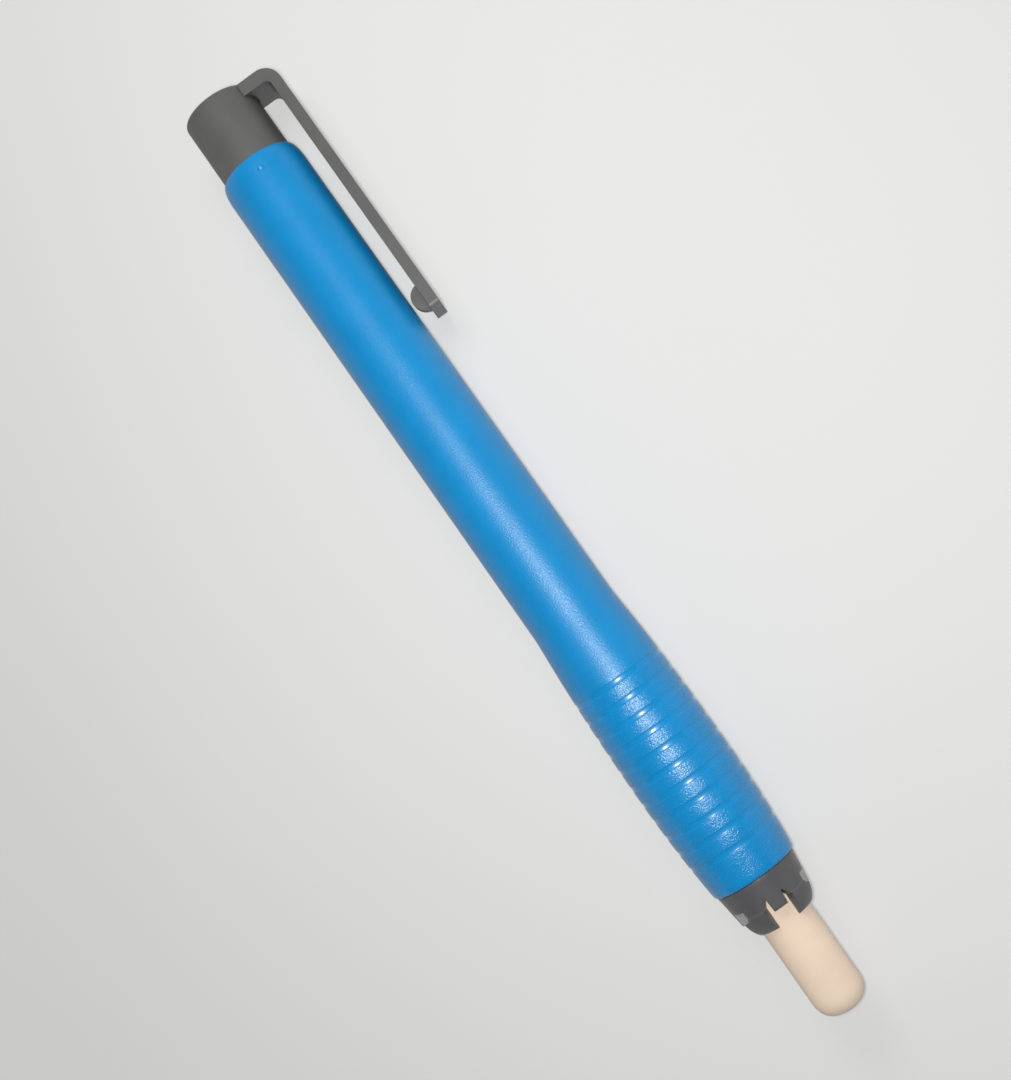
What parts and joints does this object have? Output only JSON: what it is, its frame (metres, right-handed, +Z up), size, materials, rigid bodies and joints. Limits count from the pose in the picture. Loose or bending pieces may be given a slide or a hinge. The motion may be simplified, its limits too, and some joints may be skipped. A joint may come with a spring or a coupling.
{
  "type": "eraser pen",
  "caption": "Slim push-button eraser pen: ringed grip barrel, split nose holding a rubber stick, sliding push cap with a pocket clip, and a sprung chuck feed inside.",
  "frame": {"origin": "bottom centre of the pen's box as it lies on a flat surface", "axes": "+X along the pen towards the eraser tip, +Z up, the pocket clip on the +Y side and a little below the axis"},
  "size_m": [0.1328, 0.0156, 0.0124],
  "materials": {
    "barrel": "fine satin texture, blue",
    "nose": "satin, dark grey",
    "eraser": "matte, cream",
    "cap": "satin, grey",
    "chuck": "natural white",
    "tube": "natural white",
    "ring": "turned",
    "spring": "drawn wire"
  },
  "bodies": {
    "barrel": {"barrel": "barrel", "nose_collet": "nose", "return_spring": "spring"},
    "feed": {"chuck": "chuck", "feed_tube": "tube"},
    "button": {"push_cap": "cap"},
    "clip": {"pocket_clip": "cap"},
    "clutch": {"clutch_ring": "ring"},
    "eraser": {"eraser_stick": "eraser"}
  },
  "joints": [
    {"name": "button_press", "type": "slide", "parent": "barrel", "child": "feed", "axis": [1, 0, 0], "range_m": [0, 0.003], "stiffness_N_per_m": 1000, "springref_m": -0.0006, "deforming": ["return_spring"]},
    {"name": "clutch_slide", "type": "slide", "parent": "barrel", "child": "clutch", "axis": [1, 0, 0], "range_m": [0, 0.0015]},
    {"name": "eraser_feed", "type": "slide", "parent": "barrel", "child": "eraser", "axis": [1, 0, 0], "range_m": [-0.0124, 0.066]},
    {"name": "button_swivel", "type": "hinge", "parent": "feed", "child": "button", "pos_m": [-0.06, -0.00154, 0.00622], "axis": [1, 0, 0], "continuous": true},
    {"name": "clip_flex", "type": "hinge", "parent": "button", "child": "clip", "pos_m": [-0.06517, 0.00305, 0.00498], "axis": [0, 0.2612, 0.9653], "range_deg": [0, 4], "stiffness_Nm_per_rad": 0.6}
  ],
  "couplings": [
    {"joint": "clutch_slide", "follows": "button_press", "ratio": 0.5}
  ]
}
